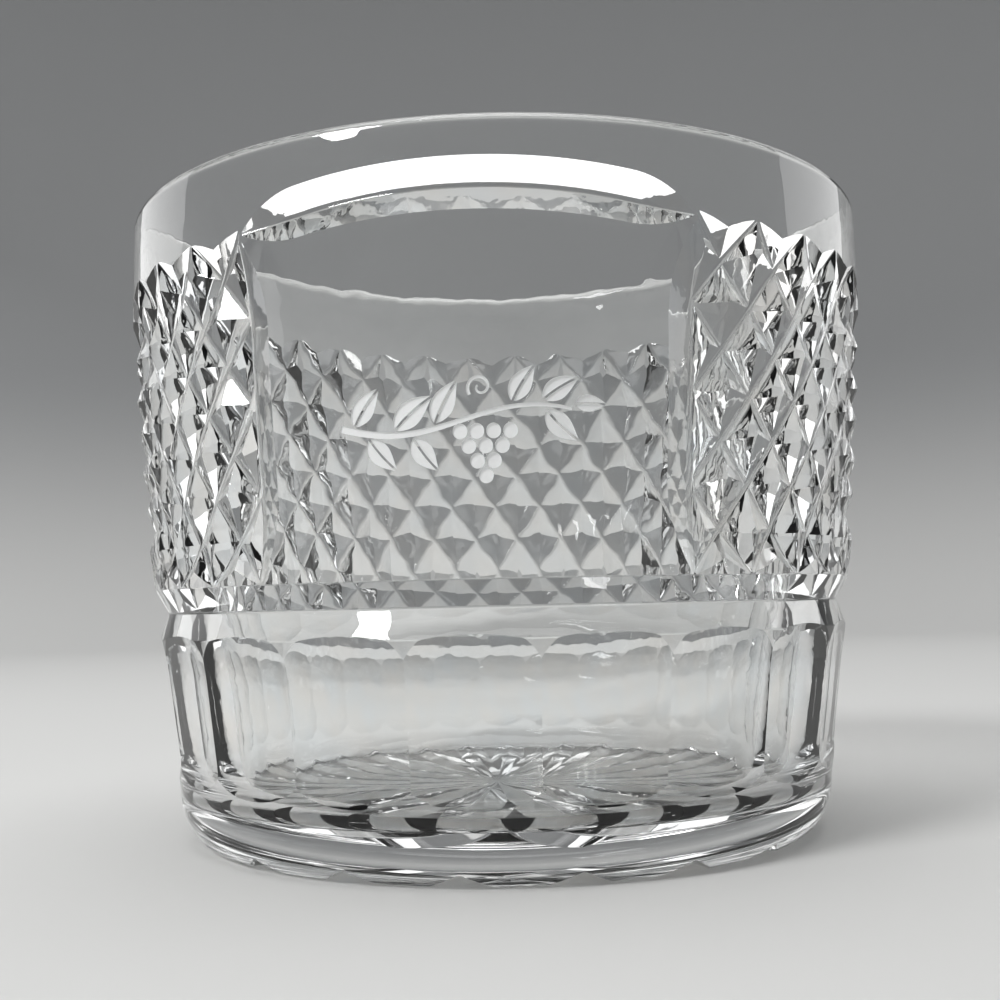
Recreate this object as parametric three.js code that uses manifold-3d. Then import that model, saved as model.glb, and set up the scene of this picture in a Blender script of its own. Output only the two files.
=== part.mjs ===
// Cut crystal wine bottle holder: one heavy glass tumbler, wheel-cut outside.
// Millimetres, +Z up, origin at the middle of the foot. The plain window faces -Y.
import * as THREE from 'three';
import { mergeVertices } from 'three/addons/utils/BufferGeometryUtils.js';
import Module from 'manifold-3d';

const DEG = Math.PI / 180;

// Outside of the turned blank: heights from the foot, insets from the widest radius
const HEIGHT = 89.6;
const BELLY_RADIUS = 55;
const BELLY_BELOW_RIM = 10.6;
const SIDE_BOW_RADIUS = 290;
const RIDGE_HEIGHT = 29.2;
const RIDGE_INSET = 3.9;
const GROOVE_ABOVE_RIDGE = 3.6;
const GROOVE_DEPTH = 1.2;
const LEDGE_ABOVE_GROOVE = 3.2;
const BASE_CORNER_HEIGHT = 8;
const BASE_CORNER_INSET = 6.7;
const FOOT_INSET = 11.6;
const LIP_RADIUS = 1.2;

// Inside of the cup
const FLOOR_THICKNESS = 6;
const FLOOR_FILLET = 5;
const BASE_WALL = 7.3;

// Mitre wheel
const WHEEL_HALF_ANGLE = 65 * DEG;
const WHEEL_REACH = 3.2;

// Diamond cutting
const PLAIN_RIM_BAND = 10.5;
const DIAMONDS_AROUND = 36;
const DIAMOND_ROWS = 4;
const DIAMOND_CUT_DEPTH = 1.8;
const DIAMOND_RUN_OUT = 8;
const DIAMOND_OVERRUN_ROWS = 0.5;

// Plain window between two upright cuts and an arched cut
const WINDOW_DIAMONDS = 6;
const BORDER_BELOW_DIAMONDS = 1.3;
const BORDER_CUT_DEPTH = 2.1;
const BORDER_RUN_OUT = 12;
const BORDER_OVERRUN = 1.5;
const ARCH_ABOVE_BORDER = 0.6;
const ARCH_RISE = 2.8;
const ARCH_CUT_DEPTH = 1.5;
const ARCH_RUN_OUT = 9 * DEG;
const ARCH_OVERRUN = 1.5 * DEG;

// Flutes round the base
const FLUTES = 20;
const FLUTE_SHOULDER_BELOW_RIDGE = 5.65;
const FLUTE_SHOULDER_ABOVE_CORNER = 4.5;
const FLUTE_TOP_RADIUS = 40;
const FLUTE_TOP_SWEEP = 21 * DEG;
const FLUTE_BOTTOM_RADIUS = 14;
const FLUTE_BOTTOM_SWEEP = 40 * DEG;
const FLUTE_EXTRA_DEPTH = 0.15;
const FLUTE_WIDTH_SPARE = 1;

// Star under the foot
const STAR_RAYS = 20;
const STAR_DEPTH = 2;
const STAR_TURN = -3 * DEG;

// How finely curves are drawn
const SEGMENTS_AROUND = 72;
const SIDE_STEPS = 6;
const ARC_STEPS = 4;
const LIP_STEPS = 6;
const FLUTE_END_STEPS = 6;
const CUT_STEPS_PER_ROW = 2;
const WINDOW_CUT_STEPS = 12;
const TANGENT_STEP = 0.001;
const MERGE_DISTANCE = 0.0001;

// Sizes worked out from the ones above
const BELLY_HEIGHT = HEIGHT - BELLY_BELOW_RIM;
const RIDGE_RADIUS = BELLY_RADIUS - RIDGE_INSET;
const GROOVE_HEIGHT = RIDGE_HEIGHT + GROOVE_ABOVE_RIDGE;
const GROOVE_RADIUS = RIDGE_RADIUS - GROOVE_DEPTH;
const LEDGE_HEIGHT = GROOVE_HEIGHT + LEDGE_ABOVE_GROOVE;
const BASE_CORNER_RADIUS = BELLY_RADIUS - BASE_CORNER_INSET;
const FOOT_RADIUS = BELLY_RADIUS - FOOT_INSET;
const BORE_RADIUS_AT_FLOOR = BASE_CORNER_RADIUS - BASE_WALL;
const TAN_WHEEL = Math.tan(WHEEL_HALF_ANGLE);
const DIAMONDS_TOP = HEIGHT - PLAIN_RIM_BAND;
const ROW_HEIGHT = (DIAMONDS_TOP - LEDGE_HEIGHT) / DIAMOND_ROWS;
const PITCH = 2 * Math.PI / DIAMONDS_AROUND;
const WINDOW_HALF_ANGLE = PITCH * WINDOW_DIAMONDS / 2;
const BORDER_TOP = DIAMONDS_TOP - BORDER_BELOW_DIAMONDS;
const ARCH_END_HEIGHT = BORDER_TOP + ARCH_ABOVE_BORDER;

// Radius of the uncut side, a shallow bow that is widest at the belly
function sideRadius(z) {
  return BELLY_RADIUS - (z - BELLY_HEIGHT) ** 2 / (2 * SIDE_BOW_RADIUS);
}

// Points on an arc or quarter ellipse, both ends included
function arcPoints(x, y, radiusX, radiusY, from, to, steps) {
  return Array.from({ length: steps + 1 }, (_, i) => {
    const angle = from + (to - from) * i / steps;
    return new THREE.Vector2(x + radiusX * Math.cos(angle), y + radiusY * Math.sin(angle));
  });
}

// Section of the blank, from the middle of the foot round to the middle of the floor
function blankProfile() {
  const lipHeight = HEIGHT - LIP_RADIUS;
  const lipCentre = sideRadius(lipHeight) - LIP_RADIUS;
  const boreRadiusAtLip = lipCentre - LIP_RADIUS;
  const boreLean = (boreRadiusAtLip - BORE_RADIUS_AT_FLOOR) / (lipHeight - FLOOR_THICKNESS);
  const filletTop = FLOOR_THICKNESS + FLOOR_FILLET;
  const filletCentre = BORE_RADIUS_AT_FLOOR + boreLean * FLOOR_FILLET - FLOOR_FILLET;
  const side = Array.from({ length: SIDE_STEPS + 1 }, (_, i) => {
    const z = LEDGE_HEIGHT + (lipHeight - LEDGE_HEIGHT) * i / SIDE_STEPS;
    return new THREE.Vector2(sideRadius(z), z);
  });
  return [
    new THREE.Vector2(0, 0),
    ...arcPoints(FOOT_RADIUS, BASE_CORNER_HEIGHT, BASE_CORNER_RADIUS - FOOT_RADIUS,
      BASE_CORNER_HEIGHT, -Math.PI / 2, 0, ARC_STEPS),
    new THREE.Vector2(RIDGE_RADIUS, RIDGE_HEIGHT),
    new THREE.Vector2(GROOVE_RADIUS, GROOVE_HEIGHT),
    ...side,
    ...arcPoints(lipCentre, lipHeight, LIP_RADIUS, LIP_RADIUS, 0, Math.PI, LIP_STEPS).slice(1),
    ...arcPoints(filletCentre, filletTop, FLOOR_FILLET, FLOOR_FILLET, 0, -Math.PI / 2, ARC_STEPS),
    new THREE.Vector2(0, FLOOR_THICKNESS),
  ];
}

// The turned blank, with its axis stood up along Z. Its seams lie beside the lines of the cuts.
function blankGeometry() {
  const seam = Math.PI / SEGMENTS_AROUND;
  return new THREE.LatheGeometry(blankProfile(), SEGMENTS_AROUND, seam).rotateX(Math.PI / 2);
}

// A line on the side of the glass that carries the wheel: angle, height and depth at each t
class WheelPath extends THREE.Curve {
  constructor(angleAt, heightAt, depthAt) {
    super();
    Object.assign(this, { angleAt, heightAt, depthAt });
  }

  outward(t) {
    return new THREE.Vector3(Math.sin(this.angleAt(t)), -Math.cos(this.angleAt(t)), 0);
  }

  getPoint(t) {
    const z = this.heightAt(t);
    return this.outward(t).multiplyScalar(sideRadius(z) - this.depthAt(t)).setZ(z);
  }

  getPointAt(t) {
    return this.getPoint(t);
  }

  getSpacedPoints(divisions) {
    return this.getPoints(divisions);
  }

  // Frames that keep the wheel square to the glass
  computeFrenetFrames(steps) {
    const frames = { tangents: [], normals: [], binormals: [] };
    for (let i = 0; i <= steps; i += 1) {
      const t = i / steps;
      const normal = this.outward(t);
      const ahead = this.getPoint(Math.min(t + TANGENT_STEP, 1));
      const behind = this.getPoint(Math.max(t - TANGENT_STEP, 0));
      const tangent = ahead.sub(behind).projectOnPlane(normal).normalize();
      frames.tangents.push(tangent);
      frames.normals.push(normal);
      frames.binormals.push(new THREE.Vector3().crossVectors(tangent, normal));
    }
    return frames;
  }
}

// The V that the wheel sweeps out along a path
function wheelCut(path, steps) {
  const section = new THREE.Shape([
    new THREE.Vector2(0, 0),
    new THREE.Vector2(WHEEL_REACH, WHEEL_REACH * TAN_WHEEL),
    new THREE.Vector2(WHEEL_REACH, -WHEEL_REACH * TAN_WHEEL),
  ]);
  return new THREE.ExtrudeGeometry(section, { steps, bevelEnabled: false, extrudePath: path });
}

// Depth of a cut near its end: the wheel lifts out along its own round edge
function runOut(distance, length, depth) {
  const left = Math.max(1 - distance / length, 0);
  return depth * (1 - left * left);
}

// One slanting cut. It leans by one diamond for each row, and stops in a border cut of the window.
function slantingCut(startTip, lean) {
  const rowAtBorder = (border) => (border / PITCH - startTip) / lean;
  const first = rowAtBorder(lean > 0 ? WINDOW_HALF_ANGLE : 2 * Math.PI - WINDOW_HALF_ANGLE);
  const last = rowAtBorder(lean > 0 ? 2 * Math.PI - WINDOW_HALF_ANGLE : WINDOW_HALF_ANGLE);
  const from = Math.max(-DIAMOND_OVERRUN_ROWS, first);
  const to = Math.min(DIAMOND_ROWS + DIAMOND_OVERRUN_ROWS, last);
  const rowAt = (t) => from + (to - from) * t;
  const rowsToEnd = (t) => Math.min(rowAt(t), DIAMOND_ROWS - rowAt(t));
  const path = new WheelPath(
    (t) => (startTip + lean * rowAt(t)) * PITCH,
    (t) => LEDGE_HEIGHT + rowAt(t) * ROW_HEIGHT,
    (t) => runOut(rowsToEnd(t) * ROW_HEIGHT, DIAMOND_RUN_OUT, DIAMOND_CUT_DEPTH),
  );
  return wheelCut(path, Math.max(Math.round((to - from) * CUT_STEPS_PER_ROW), 1));
}

function slantingCuts() {
  const firstTip = WINDOW_DIAMONDS / 2;
  const lastTip = DIAMONDS_AROUND - firstTip;
  const cuts = [];
  for (let tip = firstTip; tip <= lastTip; tip += 1) {
    cuts.push(slantingCut(tip, 1), slantingCut(tip, -1));
  }
  for (let tip = 1; tip < DIAMOND_ROWS; tip += 1) {
    cuts.push(slantingCut(firstTip - tip, 1), slantingCut(lastTip + tip, -1));
  }
  return cuts;
}

// Upright cuts down both sides of the window
function borderCut(side) {
  const length = BORDER_TOP - LEDGE_HEIGHT;
  const riseAt = (t) => (length + 2 * BORDER_OVERRUN) * t - BORDER_OVERRUN;
  const path = new WheelPath(
    () => side * WINDOW_HALF_ANGLE,
    (t) => LEDGE_HEIGHT + riseAt(t),
    (t) => runOut(Math.min(riseAt(t), length - riseAt(t)), BORDER_RUN_OUT, BORDER_CUT_DEPTH),
  );
  return wheelCut(path, WINDOW_CUT_STEPS);
}

// Arched cut over the window
function archCut() {
  const reach = WINDOW_HALF_ANGLE + ARCH_OVERRUN;
  const angleAt = (t) => reach * (2 * t - 1);
  const path = new WheelPath(
    angleAt,
    (t) => ARCH_END_HEIGHT + ARCH_RISE * (1 - (angleAt(t) / WINDOW_HALF_ANGLE) ** 2),
    (t) => runOut(WINDOW_HALF_ANGLE - Math.abs(angleAt(t)), ARCH_RUN_OUT, ARCH_CUT_DEPTH),
  );
  return wheelCut(path, WINDOW_CUT_STEPS);
}

// A flat flute with round ends, just deep enough to leave a sharp edge to its neighbours
function fluteCut(index) {
  const halfAngle = Math.PI / FLUTES;
  const lean = (RIDGE_RADIUS - BASE_CORNER_RADIUS) / (RIDGE_HEIGHT - BASE_CORNER_HEIGHT);
  const edgeAt = (z) => RIDGE_RADIUS - (RIDGE_HEIGHT - z) * lean - FLUTE_EXTRA_DEPTH;
  const faceAt = (z) => edgeAt(z) * Math.cos(halfAngle);
  const flatTop = RIDGE_HEIGHT - FLUTE_SHOULDER_BELOW_RIDGE;
  const flatBottom = BASE_CORNER_HEIGHT + FLUTE_SHOULDER_ABOVE_CORNER;
  const tilt = Math.atan(lean * Math.cos(halfAngle));
  const topCentre = faceAt(flatTop) + FLUTE_TOP_RADIUS * Math.cos(tilt);
  const topCentreHeight = flatTop - FLUTE_TOP_RADIUS * Math.sin(tilt);
  const section = new THREE.Shape([
    ...arcPoints(faceAt(flatBottom) + FLUTE_BOTTOM_RADIUS, flatBottom, FLUTE_BOTTOM_RADIUS,
      FLUTE_BOTTOM_RADIUS, Math.PI + FLUTE_BOTTOM_SWEEP, Math.PI, FLUTE_END_STEPS),
    ...arcPoints(topCentre, topCentreHeight, FLUTE_TOP_RADIUS,
      FLUTE_TOP_RADIUS, Math.PI - tilt, Math.PI - FLUTE_TOP_SWEEP, FLUTE_END_STEPS),
  ]);
  const width = 2 * RIDGE_RADIUS * Math.sin(halfAngle) + FLUTE_WIDTH_SPARE;
  return new THREE.ExtrudeGeometry(section, { steps: 1, depth: width, bevelEnabled: false })
    .translate(0, 0, -width / 2)
    .rotateX(Math.PI / 2)
    .rotateZ(2 * halfAngle * index - Math.PI / 2);
}

// One ray of the star, a V from the middle out through the edge of the foot
function starRay(index) {
  const halfWidth = (STAR_DEPTH + WHEEL_REACH) * TAN_WHEEL;
  const section = new THREE.Shape([
    new THREE.Vector2(0, STAR_DEPTH),
    new THREE.Vector2(-halfWidth, -WHEEL_REACH),
    new THREE.Vector2(halfWidth, -WHEEL_REACH),
  ]);
  return new THREE.ExtrudeGeometry(section, { steps: 1, depth: BELLY_RADIUS, bevelEnabled: false })
    .rotateX(Math.PI / 2)
    .rotateZ(2 * Math.PI * index / STAR_RAYS + STAR_TURN);
}

// Solids for the boolean cuts
const wasm = await Module();
wasm.setup();

function toSolid(geometry) {
  geometry.deleteAttribute('normal');
  geometry.deleteAttribute('uv');
  const merged = mergeVertices(geometry, MERGE_DISTANCE);
  return new wasm.Manifold(new wasm.Mesh({
    numProp: 3,
    vertProperties: new Float32Array(merged.attributes.position.array),
    triVerts: new Uint32Array(merged.index.array),
  }));
}

function toGeometry(solid) {
  const { vertProperties, triVerts } = solid.getMesh();
  const geometry = new THREE.BufferGeometry();
  geometry.setAttribute('position', new THREE.BufferAttribute(vertProperties, 3));
  geometry.setIndex(new THREE.BufferAttribute(triVerts, 1));
  geometry.computeVertexNormals();
  return geometry;
}

function glassBody() {
  const cuts = [
    ...slantingCuts(),
    borderCut(1),
    borderCut(-1),
    archCut(),
    ...Array.from({ length: FLUTES }, (_, i) => fluteCut(i)),
    ...Array.from({ length: STAR_RAYS }, (_, i) => starRay(i)),
  ];
  const cut = cuts.reduce((body, cutter) => body.subtract(toSolid(cutter)), toSolid(blankGeometry()));
  const crystal = new THREE.MeshStandardMaterial({
    color: 0xe9eeec, roughness: 0.03, metalness: 0, transparent: true, opacity: 0.35,
  });
  const mesh = new THREE.Mesh(toGeometry(cut), crystal);
  mesh.name = 'glass_body';
  return mesh;
}

const holder = new THREE.Group();
holder.add(glassBody());

export default holder;
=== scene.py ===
"""Cut crystal wine bottle holder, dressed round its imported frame."""

import math

import bmesh
import bpy
import numpy as np
from mathutils import Matrix, Vector


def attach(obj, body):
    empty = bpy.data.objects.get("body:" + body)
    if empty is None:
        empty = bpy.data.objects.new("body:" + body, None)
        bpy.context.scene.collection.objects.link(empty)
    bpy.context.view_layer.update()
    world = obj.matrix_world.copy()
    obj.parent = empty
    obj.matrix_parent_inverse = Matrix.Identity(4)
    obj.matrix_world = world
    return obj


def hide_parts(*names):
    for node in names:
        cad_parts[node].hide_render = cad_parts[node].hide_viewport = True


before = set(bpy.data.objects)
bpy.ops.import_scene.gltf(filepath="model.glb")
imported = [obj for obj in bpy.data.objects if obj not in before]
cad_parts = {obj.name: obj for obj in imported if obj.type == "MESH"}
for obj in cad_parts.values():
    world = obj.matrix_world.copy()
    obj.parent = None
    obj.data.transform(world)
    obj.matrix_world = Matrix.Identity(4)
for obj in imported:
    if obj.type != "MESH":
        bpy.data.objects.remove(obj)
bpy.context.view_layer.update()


# The blank
# One heavy cup of clear lead crystal, blown in a mould and turned true: a bowed side with a
# ledge, a groove and a ridge above the base, a fire-polished lip and a conical inside.
# Sizes are in millimetres until the finished mesh is put into metres.
METRE = 1000
HEIGHT = 89.6
BELLY_RADIUS, BELLY_BELOW_RIM = 54.92, 10.6
BELLY_HEIGHT = HEIGHT - BELLY_BELOW_RIM
SIDE_BOW_RADIUS = 290
LEDGE_HEIGHT, LEDGE_ROUNDING = 36, 0.5
GROOVE_RADIUS, GROOVE_HEIGHT, GROOVE_ROUNDING = 49.9, 32.8, 0.5
RIDGE_RADIUS, RIDGE_HEIGHT, RIDGE_ROUNDING = 51.1, 29.2, 0.7
BASE_CORNER_RADIUS, BASE_CORNER_HEIGHT = 48.3, 8
FOOT_RADIUS = 43.4
LIP_RADIUS = 1.2
FLOOR_THICKNESS, FLOOR_FILLET, BORE_RADIUS_AT_FLOOR = 6, 5, 41
AROUND = 360
SIDE_POINTS, FOOT_STEPS, LIP_STEPS, FLOOR_STEPS = 24, 12, 16, 10


def side_radius(height):
    """Radius of the uncut side: the belly's, less the drop of a large circle away from it."""
    return BELLY_RADIUS - (height - BELLY_HEIGHT) ** 2 / (2 * SIDE_BOW_RADIUS)


def arc(centre, radii, start, end, steps):
    """Points round an ellipse: centre plus the radii times cosine and sine, start to end degrees."""
    angle = np.radians(np.linspace(start, end, steps + 1))
    return np.asarray(centre) + np.stack([np.cos(angle), np.sin(angle)], 1) * radii


def fillet(before, corner, after, radius, steps=6):
    """Arc that touches both sides of a corner, turned from one touching point to the other."""
    before, corner, after = (np.asarray(p, float) for p in (before, corner, after))
    back = (before - corner) / np.linalg.norm(before - corner)
    on = (after - corner) / np.linalg.norm(after - corner)
    half = math.acos(back @ on) / 2
    middle = corner + (back + on) / np.linalg.norm(back + on) * radius / math.sin(half)
    start = corner + back * radius / math.tan(half) - middle
    end = corner + on * radius / math.tan(half) - middle
    turn = math.pi - 2 * half
    share = np.linspace(0, 1, steps + 1)[:, None]
    return middle + (np.sin((1 - share) * turn) * start + np.sin(share * turn) * end) / math.sin(turn)


lip_height = HEIGHT - LIP_RADIUS
lip_centre = side_radius(lip_height) - LIP_RADIUS
bore_lean = (lip_centre - LIP_RADIUS - BORE_RADIUS_AT_FLOOR) / (lip_height - FLOOR_THICKNESS)
fillet_centre = BORE_RADIUS_AT_FLOOR + bore_lean * FLOOR_FILLET - FLOOR_FILLET
corner_point = (BASE_CORNER_RADIUS, BASE_CORNER_HEIGHT)
ridge = (RIDGE_RADIUS, RIDGE_HEIGHT)
groove = (GROOVE_RADIUS, GROOVE_HEIGHT)
ledge = (side_radius(LEDGE_HEIGHT), LEDGE_HEIGHT)
side_heights = np.linspace(LEDGE_HEIGHT, lip_height, SIDE_POINTS)[1:]
side = np.stack([side_radius(side_heights), side_heights], 1)
blank_section = np.concatenate([
    [(0, 0)],
    arc((FOOT_RADIUS, BASE_CORNER_HEIGHT),
        (BASE_CORNER_RADIUS - FOOT_RADIUS, BASE_CORNER_HEIGHT), -90, 0, FOOT_STEPS),
    fillet(corner_point, ridge, groove, RIDGE_ROUNDING),
    fillet(ridge, groove, ledge, GROOVE_ROUNDING),
    fillet(groove, ledge, side[0], LEDGE_ROUNDING),
    side,
    arc((lip_centre, lip_height), LIP_RADIUS, 0, 180, LIP_STEPS)[1:],
    arc((fillet_centre, FLOOR_THICKNESS + FLOOR_FILLET), FLOOR_FILLET, 0, -90,
        FLOOR_STEPS),
    [(0, FLOOR_THICKNESS)],
])


def turned(section, around):
    """Points and faces of a section carried round Z: radius times cosine and sine of the angle.

    The section starts and ends on the axis, where each end is one point.
    """
    angle = np.arange(around) * 2 * np.pi / around
    rings = section[1:-1]
    points = np.stack([
        np.outer(rings[:, 0], np.cos(angle)),
        np.outer(rings[:, 0], np.sin(angle)),
        np.repeat(rings[:, 1:], around, 1),
    ], 2).reshape(-1, 3)
    ends = [(0, 0, section[0, 1]), (0, 0, section[-1, 1])]
    here = np.arange(around)
    there = (here + 1) % around
    row = np.arange(len(rings) - 1)[:, None] * around
    walls = np.stack([row + here, row + there, row + around + there, row + around + here], 2)
    last = (len(rings) - 1) * around
    first_pole, last_pole = len(points), len(points) + 1
    faces = walls.reshape(-1, 4).tolist()
    faces += [(first_pole, b, a) for a, b in zip(here.tolist(), there.tolist())]
    faces += [(last_pole, last + a, last + b) for a, b in zip(here.tolist(), there.tolist())]
    return np.concatenate([points, ends]), faces


def solid(name, points, faces):
    """An object in the scene with these points and faces, its faces turned to point out."""
    mesh = bpy.data.meshes.new(name)
    mesh.from_pydata(np.asarray(points).tolist(), [], faces)
    body = bpy.data.objects.new(name, mesh)
    bpy.context.scene.collection.objects.link(body)
    corners = mesh.loop_triangles
    a, b, c = (np.array([mesh.vertices[t.vertices[k]].co for t in corners]) for k in range(3))
    if np.einsum("ij,ij->i", a, np.cross(b, c)).sum() < 0:
        mesh.flip_normals()
    return body


blank = solid("crystal", *turned(blank_section, AROUND))


# The cutting
# A mitre wheel grinds V grooves whose bottoms are left a little round by acid polishing. Two
# sets lean across each other into pointed diamonds, and three more frame the plain window.
WHEEL_HALF_ANGLE, WHEEL_REACH = math.radians(65), 3.2
TIP_ROUNDING, TIP_STEPS = 0.9, 6
PLAIN_RIM_BAND = 10.5
DIAMONDS_AROUND, DIAMOND_ROWS = 36, 4
DIAMOND_CUT_DEPTH, SECOND_SET_EXTRA, DIAMOND_RUN_OUT = 1.8, 0.12, 8
OVERRUN_ROWS, STEPS_PER_ROW = 0.5, 8
WINDOW_DIAMONDS = 6
BORDER_BELOW_DIAMONDS, BORDER_CUT_DEPTH, BORDER_RUN_OUT = 1.3, 2.1, 12
BORDER_OVERRUN, BORDER_POINTS = 1.5, 40
ARCH_ABOVE_BORDER, ARCH_RISE, ARCH_CUT_DEPTH = 0.6, 2.8, 1.5
ARCH_RUN_OUT, ARCH_OVERRUN, ARCH_POINTS = math.radians(9), math.radians(1.5), 80

DIAMONDS_TOP = HEIGHT - PLAIN_RIM_BAND
BORDER_TOP = DIAMONDS_TOP - BORDER_BELOW_DIAMONDS
ARCH_END_HEIGHT = BORDER_TOP + ARCH_ABOVE_BORDER
PITCH = 2 * math.pi / DIAMONDS_AROUND
ROW_HEIGHT = (DIAMONDS_TOP - LEDGE_HEIGHT) / DIAMOND_ROWS
WINDOW_HALF_ANGLE = PITCH * WINDOW_DIAMONDS / 2
FIRST_TIP = WINDOW_DIAMONDS // 2
LAST_TIP = DIAMONDS_AROUND - FIRST_TIP

# The wheel's edge: how far out from the bottom of the cut, and how far to the side of it
flank = math.degrees(math.pi / 2 - WHEEL_HALF_ANGLE)
wheel_section = np.concatenate([
    arc((TIP_ROUNDING / math.sin(WHEEL_HALF_ANGLE), 0), TIP_ROUNDING, 180 - flank, 180 + flank,
        TIP_STEPS),
    [(WHEEL_REACH, -WHEEL_REACH * math.tan(WHEEL_HALF_ANGLE)),
     (WHEEL_REACH, WHEEL_REACH * math.tan(WHEEL_HALF_ANGLE))],
])


def swept(path, outward, section):
    """Points and faces of a section carried along a path, its first axis kept along outward.

    Each point is the path's, plus outward times the section's first number, plus the sideways
    direction, square to both path and outward, times its second. The section is one for the
    whole path or one for each of its points. Flat caps close the ends.
    """
    ahead = np.gradient(path, axis=0)
    ahead -= outward * np.einsum("ij,ij->i", ahead, outward)[:, None]
    sideways = np.cross(ahead, outward)
    sideways /= np.linalg.norm(sideways, axis=1)[:, None]
    points = (path[:, None] + outward[:, None] * section[..., :1]
              + sideways[:, None] * section[..., 1:]).reshape(-1, 3)
    count = section.shape[-2]
    here = np.arange(count)
    there = (here + 1) % count
    row = np.arange(len(path) - 1)[:, None] * count
    walls = np.stack([row + here, row + there, row + count + there, row + count + here], 2)
    caps = [here[::-1].tolist(), (here + count * (len(path) - 1)).tolist()]
    return points, walls.reshape(-1, 4).tolist() + caps


def joined(parts):
    """The points and faces of several separate bodies as one list of each."""
    faces, start = [], 0
    for points, its_faces in parts:
        faces += [[start + i for i in face] for face in its_faces]
        start += len(points)
    return np.concatenate([points for points, _ in parts]), faces


def on_side(angle, height, depth):
    """Points sunk by the depth into the side at each angle and height, and the way out there."""
    outward = np.stack([np.sin(angle), -np.cos(angle), np.zeros_like(angle)], 1)
    path = outward * (side_radius(height) - depth)[:, None]
    path[:, 2] = height
    return path, outward


def wheel_cut(angle, height, depth):
    """The V that the wheel leaves along a line on the side, given its angle, height and depth."""
    return swept(*on_side(angle, height, depth), wheel_section)


def run_out(distance, length, depth):
    """Depth near a cut's end, where the round wheel lifts out: a parabola over the last length."""
    left = np.maximum(1 - distance / length, 0)
    return depth * (1 - left ** 2)


def slanting_cut(tip, lean):
    """A line that leans one diamond for each row and stops in the window's border cuts."""
    ends = [(border - tip) / lean for border in (FIRST_TIP, LAST_TIP)]
    start, end = max(-OVERRUN_ROWS, min(ends)), min(DIAMOND_ROWS + OVERRUN_ROWS, max(ends))
    row = np.linspace(start, end, max(round((end - start) * STEPS_PER_ROW), 1) + 1)
    full_depth = DIAMOND_CUT_DEPTH + (SECOND_SET_EXTRA if lean > 0 else 0)
    depth = run_out(np.minimum(row, DIAMOND_ROWS - row) * ROW_HEIGHT, DIAMOND_RUN_OUT, full_depth)
    return wheel_cut((tip + lean * row) * PITCH, LEDGE_HEIGHT + row * ROW_HEIGHT, depth)


def border_cut(side_of_window):
    """An upright line down one side of the window."""
    length = BORDER_TOP - LEDGE_HEIGHT
    rise = np.linspace(-BORDER_OVERRUN, length + BORDER_OVERRUN, BORDER_POINTS)
    depth = run_out(np.minimum(rise, length - rise), BORDER_RUN_OUT, BORDER_CUT_DEPTH)
    angle = np.full_like(rise, side_of_window * WINDOW_HALF_ANGLE)
    return wheel_cut(angle, LEDGE_HEIGHT + rise, depth)


def arch_cut():
    """A line over the window that rises to its middle as a parabola."""
    angle = np.linspace(-1, 1, ARCH_POINTS) * (WINDOW_HALF_ANGLE + ARCH_OVERRUN)
    height = ARCH_END_HEIGHT + ARCH_RISE * (1 - (angle / WINDOW_HALF_ANGLE) ** 2)
    depth = run_out(WINDOW_HALF_ANGLE - abs(angle), ARCH_RUN_OUT, ARCH_CUT_DEPTH)
    return wheel_cut(angle, height, depth)


# Cuts side by side overlap, so every other one goes into one tool
cutters = []
for lean, tips in ((1, range(FIRST_TIP - DIAMOND_ROWS + 1, LAST_TIP + 1)),
                   (-1, range(FIRST_TIP, LAST_TIP + DIAMOND_ROWS))):
    for odd in (0, 1):
        lines = [slanting_cut(tip, lean) for tip in tips if tip % 2 == odd]
        cutters.append(solid("slanting_cuts", *joined(lines)))
cutters.append(solid("border_cuts", *joined([border_cut(-1), border_cut(1)])))
cutters.append(solid("arch_cut", *arch_cut()))


# The fluted base
# Flat flutes are ground side by side round the base on a broad wheel, whose edge rounds both
# ends of each. They meet in sharp upright edges.
FLUTES = 20
FLUTE_TOP_BELOW_RIDGE, FLUTE_TOP_RADIUS, FLUTE_TOP_SWEEP = 5.65, 40, 21
FLUTE_BOTTOM_ABOVE_CORNER, FLUTE_BOTTOM_RADIUS, FLUTE_BOTTOM_SWEEP = 4.5, 14, 40
FLUTE_EXTRA_DEPTH, FLUTE_SPARE_WIDTH, FLUTE_END_STEPS = 0.15, 0.5, 14

FLUTE_TOP = RIDGE_HEIGHT - FLUTE_TOP_BELOW_RIDGE
FLUTE_BOTTOM = BASE_CORNER_HEIGHT + FLUTE_BOTTOM_ABOVE_CORNER
flute_half_angle = math.pi / FLUTES
base_lean = (RIDGE_RADIUS - BASE_CORNER_RADIUS) / (RIDGE_HEIGHT - BASE_CORNER_HEIGHT)
tilt = math.atan(base_lean * math.cos(flute_half_angle))


def flute_face(height):
    """Distance of the flute's flat face from the axis: just inside the base's, at a flute's edge."""
    edge = RIDGE_RADIUS - (RIDGE_HEIGHT - height) * base_lean - FLUTE_EXTRA_DEPTH
    return edge * math.cos(flute_half_angle)


flute_section = np.concatenate([
    arc((flute_face(FLUTE_BOTTOM) + FLUTE_BOTTOM_RADIUS, FLUTE_BOTTOM), FLUTE_BOTTOM_RADIUS,
        180 + FLUTE_BOTTOM_SWEEP, 180, FLUTE_END_STEPS),
    arc((flute_face(FLUTE_TOP) + FLUTE_TOP_RADIUS * math.cos(tilt),
         FLUTE_TOP - FLUTE_TOP_RADIUS * math.sin(tilt)), FLUTE_TOP_RADIUS,
        180 - math.degrees(tilt), 180 - FLUTE_TOP_SWEEP, FLUTE_END_STEPS),
])


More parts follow.
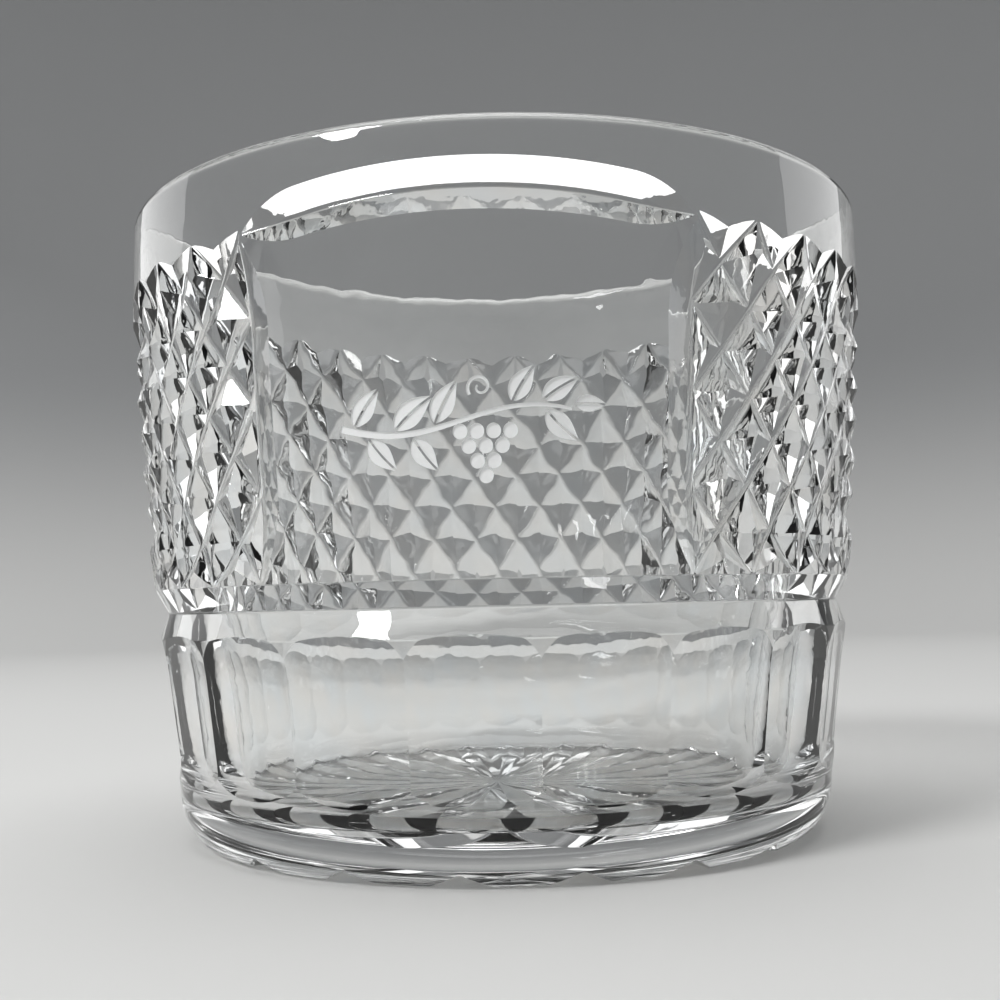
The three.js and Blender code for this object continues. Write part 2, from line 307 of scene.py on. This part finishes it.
def flute_cut(index):
    """A block whose inner face is the flute, square to the radius at its middle."""
    angle = 2 * flute_half_angle * index
    outward = np.array([[math.sin(angle), -math.cos(angle), 0]])
    across = np.array([[math.cos(angle), math.sin(angle), 0]])
    half = RIDGE_RADIUS * math.sin(flute_half_angle) + FLUTE_SPARE_WIDTH
    ends = [flute_section[:, :1] * outward + across * s + flute_section[:, 1:] * [[0, 0, 1]]
            for s in (-half, half)]
    count = len(flute_section)
    walls = [[i, (i + 1) % count, (i + 1) % count + count, i + count] for i in range(count)]
    caps = [list(range(count))[::-1], list(range(count, 2 * count))]
    return np.concatenate(ends), walls + caps


for odd in (0, 1):
    cutters.append(solid("flutes", *joined([flute_cut(i) for i in range(odd, FLUTES, 2)])))


# The star
# Ten mitre cuts cross under the foot, each a straight V from edge to edge. They make a star of
# twenty rays, whose ends notch the rim of the foot.
STAR_RAYS = 20
STAR_DEPTH = 2
STAR_TURN = math.radians(-3)
star_section = wheel_section * [-1, 1] + [STAR_DEPTH, 0]
for index in range(STAR_RAYS // 2):
    angle = 2 * math.pi * index / STAR_RAYS + STAR_TURN
    ray = BELLY_RADIUS * np.array([math.sin(angle), -math.cos(angle), 0])
    path = np.stack([-ray, ray])
    outward = np.array([[0, 0, 1.0]] * 2)
    cutters.append(solid("star_cut", *swept(path, outward, star_section)))


# The engraving
# The plain window carries a small frosted vine sprig, blasted a little way into the glass
# through a stencil, so each form stands clear of the next and each leaf has a clear vein.
SPRIG_HEIGHT = 54
SPRIG_DEPTH, BLAST_FROM = 0.15, 0.4
SPRIG_HALF_WIDTH, SPRIG_HALF_HEIGHT = 17, 8.5
POINT = 0.03
VEIN, LEAF_BEND, LEAF_GAP, LEAF_SWELL = 0.13, 0.16, 0.62, 0.8
STEM_START, STEM_END, STEM_WAVE, STEM_RISE = -15, 12.5, 5.2, 1.5
STEM_THICK, STEM_THIN = 0.42, 0.2
TENDRIL_PLACE, TENDRIL_RADIUS, TENDRIL_SHRINK = (1.9, 3.6), 1.5, 0.8
TENDRIL_START, TENDRIL_TURNS = math.radians(215), -1.2
TENDRIL_THICK, TENDRIL_THIN = 0.2, 0.12
BUNCH_ACROSS, BUNCH_TOP = 2.4, -1.35
GRAPE_RADIUS, GRAPE_PITCH, GRAPE_ROWS, GRAPE_ROW_DROP = 0.86, 1.95, 4, 0.86
STEM_POINTS, TENDRIL_POINTS, LEAF_POINTS, GRAPE_POINTS = 60, 40, 18, 16
# Each leaf's place along the stem, lean in degrees, length and half width
LEAVES = (
    (-13.2, 62, 5.0, 1.15), (-11.4, -58, 4.6, 1.1), (-8.2, 48, 5.6, 1.3), (-6.0, -62, 4.4, 1.1),
    (-3.4, 70, 5.2, 1.2), (5.6, 66, 4.6, 1.1), (9.2, 40, 4.6, 1.1), (9.6, -52, 4.8, 1.15),
    (12.9, 8, 3.6, 0.8),
)


def pocket(line, low, high):
    """A shallow pocket along a line on the window, from one offset to the other beside it.

    The line holds the distance round the side and up from the middle of the sprig.
    """
    path, outward = on_side(line[:, 0] / BELLY_RADIUS, line[:, 1] + SPRIG_HEIGHT, 0)
    floor, top = np.full(len(line), -SPRIG_DEPTH), np.full(len(line), BLAST_FROM)
    section = np.stack([floor, low, floor, high, top, high, top, low], 1).reshape(-1, 4, 2)
    return swept(path, outward, section)


def leaf(foot, lean, length, width, bend):
    """Two halves of a leaf: a bent middle line, and a width that swells as sin(pi t^LEAF_SWELL)."""
    share = np.linspace(0, 1, LEAF_POINTS)
    ahead = np.array([math.cos(lean), math.sin(lean)])
    aside = np.array([-ahead[1], ahead[0]])
    line = foot + length * (share[:, None] * ahead + bend * share[:, None] ** 2 * aside)
    swell = VEIN + POINT + width * np.sin(np.pi * share ** LEAF_SWELL)
    vein = np.full_like(share, VEIN)
    return [pocket(line, vein, swell), pocket(line, -swell, -vein)]


def grape(centre):
    """A round pocket: its half width is the radius times sin t, at minus the radius times cos t."""
    turn = np.linspace(0, np.pi, GRAPE_POINTS)
    half = POINT + GRAPE_RADIUS * np.sin(turn)
    return pocket(centre + np.outer(-np.cos(turn) * GRAPE_RADIUS, [1, 0]), -half, half)


def stroke(line, start, end):
    """A thin pocket along a line, whose half width runs evenly from start to end."""
    half = np.linspace(start, end, len(line))
    return pocket(line, -half, half)


def stem_at(across):
    """Points of the stem, which rises and falls as one slow sine wave."""
    return np.stack([across, STEM_RISE * np.sin(across / STEM_WAVE)], -1)


def tendril():
    """Points of the tendril: a circle round its place, whose radius shrinks evenly to a fifth."""
    share = np.linspace(0, 1, TENDRIL_POINTS)
    angle = TENDRIL_START + share * TENDRIL_TURNS * 2 * np.pi
    radius = TENDRIL_RADIUS * (1 - TENDRIL_SHRINK * share)
    return TENDRIL_PLACE + radius[:, None] * np.stack([np.cos(angle), np.sin(angle)], 1)


stem = stem_at(np.linspace(STEM_START, STEM_END, STEM_POINTS))
sprig = [stroke(stem, STEM_THICK, STEM_THIN), stroke(tendril(), TENDRIL_THICK, TENDRIL_THIN)]
for across, lean, length, width in LEAVES:
    upward = math.copysign(1, lean)
    leaf_foot = stem_at(np.array(across)) + [0, LEAF_GAP * upward]
    sprig += leaf(leaf_foot, math.radians(lean), length, width, -LEAF_BEND * upward)
for row in range(GRAPE_ROWS):
    count = GRAPE_ROWS - row
    for across in (np.arange(count) - (count - 1) / 2) * GRAPE_PITCH:
        up = BUNCH_TOP - row * GRAPE_PITCH * GRAPE_ROW_DROP
        sprig.append(grape(np.array([BUNCH_ACROSS + across, up])))
cutters.append(solid("sprig", *joined(sprig)))


# The cut glass
# The wheels and the blasting take glass away and add none, so the finished piece is the blank
# less all of their cuts.
NEAREST_POINTS = 0.001


def cut(body, tools):
    """The body's mesh with every tool taken away from it. The tools are used up.

    Points that almost meet where cuts cross are made one, so that no face is without width.
    """
    for tool in tools:
        step = body.modifiers.new(tool.name, "BOOLEAN")
        step.operation, step.solver, step.object = "DIFFERENCE", "MANIFOLD", tool
    mesh = bpy.data.meshes.new_from_object(body.evaluated_get(bpy.context.evaluated_depsgraph_get()))
    body.modifiers.clear()
    for tool in tools:
        bpy.data.objects.remove(tool)
    whole = bmesh.new()
    whole.from_mesh(mesh)
    bmesh.ops.remove_doubles(whole, verts=whole.verts, dist=NEAREST_POINTS)
    whole.to_mesh(mesh)
    whole.free()
    return mesh


blank.data = cut(blank, cutters)
crystal = blank


# The polish
# Facets stay flat to their sharp edges. Turned surfaces are smooth: their normals are worked
# out from the blank's section, so that thin glass bends light evenly.
SHARP = math.radians(15)
ON_BLANK = 0.02
NEAR_NORMAL = math.cos(math.radians(4))
ON_AXIS = 1e-9


def section_normals(section):
    """Outward direction at each point of the blank's section, the mean of its two sides'."""
    run = np.diff(section, axis=0)
    run /= np.linalg.norm(run, axis=1)[:, None]
    out = np.stack([run[:, 1], -run[:, 0]], 1)
    mean = np.concatenate([out[:1], out[:-1] + out[1:], out[-1:]])
    return mean / np.linalg.norm(mean, axis=1)[:, None]


def blank_normals(points, section, normals):
    """Distance of each point from the blank, and the normal there.

    The point's radius and height are dropped onto the nearest side of the section, and the
    normals of that side's two ends are mixed by where it lands.
    """
    flat = np.stack([np.hypot(points[:, 0], points[:, 1]), points[:, 2]], 1)
    best = np.full(len(flat), np.inf)
    normal = np.zeros_like(flat)
    for a, b, at_a, at_b in zip(section[:-1], section[1:], normals[:-1], normals[1:]):
        share = np.clip((flat - a) @ (b - a) / ((b - a) @ (b - a)), 0, 1)[:, None]
        away = np.linalg.norm(flat - a - share * (b - a), axis=1)
        nearer = away < best
        best[nearer] = away[nearer]
        normal[nearer] = (at_a + share * (at_b - at_a))[nearer]
    normal /= np.linalg.norm(normal, axis=1)[:, None]
    round_z = points[:, :2] / np.maximum(flat[:, :1], ON_AXIS)
    return best, np.concatenate([round_z * normal[:, :1], normal[:, 1:]], 1)


def read(items, name, width, kind=float):
    """An attribute of every item of a mesh as one array."""
    values = np.empty(len(items) * width, kind)
    items.foreach_get(name, values)
    return values.reshape(-1, width) if width > 1 else values


def mark(mesh, name, faces):
    """A number on every face of the mesh, 1 on the faces told and 0 on the rest."""
    mesh.attributes.new(name, "FLOAT", "FACE").data.foreach_set("value", faces.astype(float))


def polish(mesh):
    """Smooth normals on the turned surfaces, flat facets with sharp edges on the cuts.

    The faces that a wheel or the blasting has made are marked for the material.
    """
    sides = read(mesh.polygons, "loop_total", 1, int)
    face_of = np.repeat(np.arange(len(sides)), sides)
    normals = section_normals(blank_section)
    centres = read(mesh.polygons, "center", 3)
    middle, middle_normal = blank_normals(centres, blank_section, normals)
    alike = np.einsum("ij,ij->i", read(mesh.polygons, "normal", 3), middle_normal) > NEAR_NORMAL
    uncut = alike & (middle < ON_BLANK)
    mesh.polygons.foreach_set("use_smooth", np.ones(len(mesh.polygons), bool))
    mesh.set_sharp_from_angle(angle=SHARP)
    uncut_sides = np.bincount(read(mesh.loops, "edge_index", 1, int), uncut[face_of], len(mesh.edges))
    sharp = read(mesh.edges, "use_edge_sharp", 1, bool) | (uncut_sides == 1)
    mesh.edges.foreach_set("use_edge_sharp", sharp)
    corners = read(mesh.corner_normals, "vector", 3)
    points = read(mesh.vertices, "co", 3)[read(mesh.loops, "vertex_index", 1, int)]
    away, wanted = blank_normals(points, blank_section, normals)
    turned_corner = uncut[face_of] & (away < ON_BLANK)
    mesh.normals_split_custom_set(np.where(turned_corner[:, None], wanted, corners).tolist())
    beside = (abs(centres[:, 0]) < SPRIG_HALF_WIDTH) & (centres[:, 1] < 0)
    blasted = ~uncut & beside & (abs(centres[:, 2] - SPRIG_HEIGHT) < SPRIG_HALF_HEIGHT)
    mark(mesh, "frosted", blasted)
    mark(mesh, "ground", ~uncut & ~blasted)


polish(crystal.data)
crystal.data.transform(Matrix.Scale(1 / METRE, 4))


# The crystal
# Clear colourless lead crystal. The hand and the polishing acid leave slow waves, truest on the
# floor and the star, the wheel leaves fine upright marks and the blasting leaves grit.
# Heights are in metres, and each scale is a number of blots in a metre.
LEAD_CRYSTAL_IOR = 1.54
RIPPLE_HEIGHT, WHEEL_MARK_HEIGHT, GRIT_HEIGHT = 0.00003, 0.0000012, 0.00003
SLOW_WAVES, QUICK_WAVES, FACET_WAVES = 60, 260, 700
SLOW_WAVE_SIZE, FACET_WAVE_UNCUT, FACET_WAVE_CUT = 4, 0.04, 0.6
CALM_BELOW, WAVY_ABOVE, CALM_SHARE = 0.0075, 0.03, 0.12
WHEEL_MARKS, WHEEL_MARK_STRETCH, GRIT = 3000, (1, 1, 0.05), 7000
# Cut faces take painted warm and cool light in their colour, a painted stand-in for rainbow fire; the
# body has a faint random tone
BODY_TINTS, BODY_BLOTS = ((1, 1, 1, 1), (0.985, 0.996, 0.992, 1)), 60
PAINTED_FIRE_TINTS, PAINTED_FIRE_BLOTS = ((1, 0.955, 0.9, 1), (0.9, 0.96, 1, 1)), 190
CUT_ROUGHNESS, MARK_ROUGHNESS = 0.012, 0.03
FROST_WHITE, FROST_CLEARNESS = (0.95, 0.96, 0.96, 1), 0.25
FROST_ROUGHNESS, GRIT_ROUGHNESS = 0.45, 0.25


class Shade:
    """An output socket in a material. The arithmetic signs add Math nodes after it."""

    def __init__(self, tree, socket=None):
        self.tree, self.socket = tree, socket

    def node(self, kind, settings=(), inputs=(), output=0):
        """A node of that type: settings set first, then each input's value or link."""
        made = self.tree.nodes.new(kind)
        for name, value in dict(settings).items():
            setattr(made, name, value)
        for key, value in dict(inputs).items():
            if isinstance(value, Shade):
                self.tree.links.new(value.socket, made.inputs[key])
            else:
                made.inputs[key].default_value = value
        return Shade(self.tree, made.outputs[output] if made.outputs else None)

    def math(self, operation, left, right):
        """A Math node of two values."""
        return self.node("ShaderNodeMath", {"operation": operation}, {0: left, 1: right})

    def __add__(self, other):
        return self.math("ADD", self, other)

    def __mul__(self, other):
        return self.math("MULTIPLY", self, other)

    __radd__, __rmul__ = __add__, __mul__


def noise(at, scale, detail):
    """Soft random blots from 0 to 1, about 1 / scale metres across."""
    return at.node("ShaderNodeTexNoise", {}, {"Vector": at, "Scale": scale, "Detail": detail})


def stretched(at, factors):
    """Coordinates multiplied along each axis, so that a noise in them is drawn out."""
    return at.node("ShaderNodeVectorMath", {"operation": "MULTIPLY"}, {0: at, 1: factors})


def blend(share, first, second):
    """A colour mixed from two by a share from 0 to 1."""
    return share.node("ShaderNodeMix", {"data_type": "RGBA"}, {0: share, 6: first, 7: second}, 2)


def bump(height, distance, below):
    """A normal tilted by a height, on top of another normal where one is given."""
    inputs = {"Height": height, "Distance": distance}
    return height.node("ShaderNodeBump", {}, inputs | ({"Normal": below} if below else {}))


glass = bpy.data.materials.new("cut_crystal")
glass.use_nodes = True
glass.node_tree.nodes.clear()
start = Shade(glass.node_tree)
place = start.node("ShaderNodeTexCoord", output="Object")
frosted = start.node("ShaderNodeAttribute", {"attribute_name": "frosted"}, output="Fac")
ground = start.node("ShaderNodeAttribute", {"attribute_name": "ground"}, output="Fac")
height = start.node("ShaderNodeSeparateXYZ", {}, {"Vector": place}, "Z")
uneven = start.node("ShaderNodeMapRange", {"interpolation_type": "SMOOTHSTEP"}, {
    "Value": height, "From Min": CALM_BELOW, "From Max": WAVY_ABOVE, "To Min": CALM_SHARE})
ripple = uneven * (SLOW_WAVE_SIZE * noise(place, SLOW_WAVES, 0) + noise(place, QUICK_WAVES, 1)
                   + (FACET_WAVE_UNCUT + FACET_WAVE_CUT * ground) * noise(place, FACET_WAVES, 1))
marks = noise(stretched(place, WHEEL_MARK_STRETCH), WHEEL_MARKS, 2)
grain = noise(place, GRIT, 3)
waved = bump(ripple, RIPPLE_HEIGHT, None)
body_tint = blend(noise(place, BODY_BLOTS, 2), *BODY_TINTS)
# Painted fire: warm and cool blotches in the cut faces' colour stand in for light split into colours
painted_fire_tint = blend(noise(place, PAINTED_FIRE_BLOTS, 0), *PAINTED_FIRE_TINTS)
clear = start.node("ShaderNodeBsdfPrincipled", {}, {
    "Base Color": blend(ground, body_tint, painted_fire_tint),
    "Roughness": ground * (CUT_ROUGHNESS + MARK_ROUGHNESS * marks),
    "IOR": LEAD_CRYSTAL_IOR, "Transmission Weight": 1.0,
    "Normal": bump(marks * ground, WHEEL_MARK_HEIGHT, waved)})
blasted = start.node("ShaderNodeBsdfPrincipled", {}, {
    "Base Color": FROST_WHITE, "Roughness": FROST_ROUGHNESS + GRIT_ROUGHNESS * grain,
    "IOR": LEAD_CRYSTAL_IOR, "Transmission Weight": FROST_CLEARNESS,
    "Normal": bump(grain, GRIT_HEIGHT, waved)})
surface = start.node("ShaderNodeMixShader", {}, {0: frosted, 1: clear, 2: blasted})
start.node("ShaderNodeOutputMaterial", {}, {"Surface": surface})
crystal.data.materials.clear()
crystal.data.materials.append(glass)
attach(crystal, "root")
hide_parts("glass_body")


# The photograph's view
# Seen from just above the middle of its height, a hand's breadth away, with the top leaning
# a little to the left.
LENS, SENSOR_WIDTH = 44.4, 36
SEEN_FROM, SEEN_TO = 0.01, 50
DISTANCE, ASIDE, EYE_HEIGHT = 0.1918, math.radians(4.1), 0.0332
PITCH_UP, ROLL = math.radians(4.78), math.radians(1.32)

lens = bpy.data.cameras.new("view")
lens.lens, lens.sensor_width = LENS, SENSOR_WIDTH
lens.clip_start, lens.clip_end = SEEN_FROM, SEEN_TO
camera = bpy.data.objects.new("view", lens)
bpy.context.scene.collection.objects.link(camera)
bpy.context.scene.camera = camera
forward = Vector((-math.sin(ASIDE) * math.cos(PITCH_UP), math.cos(ASIDE) * math.cos(PITCH_UP),
                  math.sin(PITCH_UP)))
right = Vector((math.cos(ASIDE), math.sin(ASIDE), 0))
up = right.cross(forward)
rolled_right = right * math.cos(ROLL) - up * math.sin(ROLL)
rolled_up = right * math.sin(ROLL) + up * math.cos(ROLL)
pose = Matrix((rolled_right, rolled_up, -forward)).transposed().to_4x4()
pose.translation = (DISTANCE * math.sin(ASIDE), -DISTANCE * math.cos(ASIDE), EYE_HEIGHT)
camera.matrix_world = pose


# The studio
# A pale floor that curves up all round into a plain wall, a little greyer with height so that
# clear glass shows against it, and soft round lamps above, behind and beside the object.
FLOOR_REACH, SWEEP_RADIUS, WALL_TOP = 0.9, 0.6, 1.6
SWEEP_STEPS, STUDIO_AROUND = 24, 96
PALE, GREYER, GREY_FROM_HEIGHT = (0.64, 0.64, 0.63, 1), (0.36, 0.365, 0.37, 1), 0.35
ROOM_COLOUR, ROOM_STRENGTH = (0.8, 0.82, 0.85, 1), 0.12

studio_section = np.concatenate([
    [(0, 0), (FLOOR_REACH - SWEEP_RADIUS, 0)],
    arc((FLOOR_REACH, SWEEP_RADIUS), SWEEP_RADIUS, -90, 0, SWEEP_STEPS),
    [(FLOOR_REACH + SWEEP_RADIUS, WALL_TOP), (0, WALL_TOP)],
])
studio_points, studio_faces = turned(studio_section, STUDIO_AROUND)
ceiling = len(studio_points) - 1
studio_mesh = bpy.data.meshes.new("studio")
open_faces = [face for face in studio_faces if ceiling not in face]
studio_mesh.from_pydata(studio_points[:-1].tolist(), [], open_faces)
studio_mesh.polygons.foreach_set("use_smooth", np.ones(len(studio_mesh.polygons), bool))
studio = bpy.data.objects.new("studio", studio_mesh)
bpy.context.scene.collection.objects.link(studio)
paint = bpy.data.materials.new("pale_paint")
paint.use_nodes = True
paint.node_tree.nodes.clear()
start = Shade(paint.node_tree)
place = start.node("ShaderNodeTexCoord", output="Object")
height = start.node("ShaderNodeSeparateXYZ", {}, {"Vector": place}, "Z")
share = start.node("ShaderNodeMapRange", {"interpolation_type": "SMOOTHSTEP"}, {
    "Value": height, "From Max": GREY_FROM_HEIGHT})
matt = start.node("ShaderNodeBsdfDiffuse", {}, {"Color": blend(share, PALE, GREYER)})
start.node("ShaderNodeOutputMaterial", {}, {"Surface": matt})
studio.data.materials.append(paint)


def lamp(name, place, target, size, power):
    """A round soft lamp at a place, turned to a target, which the camera itself doesn't see."""
    light = bpy.data.lights.new(name, "AREA")
    light.shape, light.size, light.size_y, light.energy = "ELLIPSE", size[0], size[1], power
    head = bpy.data.objects.new(name, light)
    head.location = place
    head.rotation_euler = (Vector(place) - Vector(target)).to_track_quat("Z", "Y").to_euler()
    head.visible_camera = False
    bpy.context.scene.collection.objects.link(head)


lamp("overhead", (0, -0.1, 1.3), (0, 0, 0), (1.3, 1.3), 9.5)
lamp("behind", (0, 1.0, 0.86), (0, 0, 0.06), (2.1, 0.46), 2.8)
lamp("left", (-1.1, 0.58, 0.5), (0, 0, 0.05), (0.8, 0.8), 2)
lamp("right", (1.1, 0.58, 0.5), (0, 0, 0.05), (0.8, 0.8), 2)
lamp("front", (-0.62, -0.72, 0.72), (0, 0, 0.04), (0.4, 0.34), 8)

world = bpy.data.worlds.new("room")
world.use_nodes = True
sky = world.node_tree.nodes["Background"]
sky.inputs["Color"].default_value = ROOM_COLOUR
sky.inputs["Strength"].default_value = ROOM_STRENGTH
bpy.context.scene.world = world
bpy.context.scene.view_settings.view_transform = "Standard"
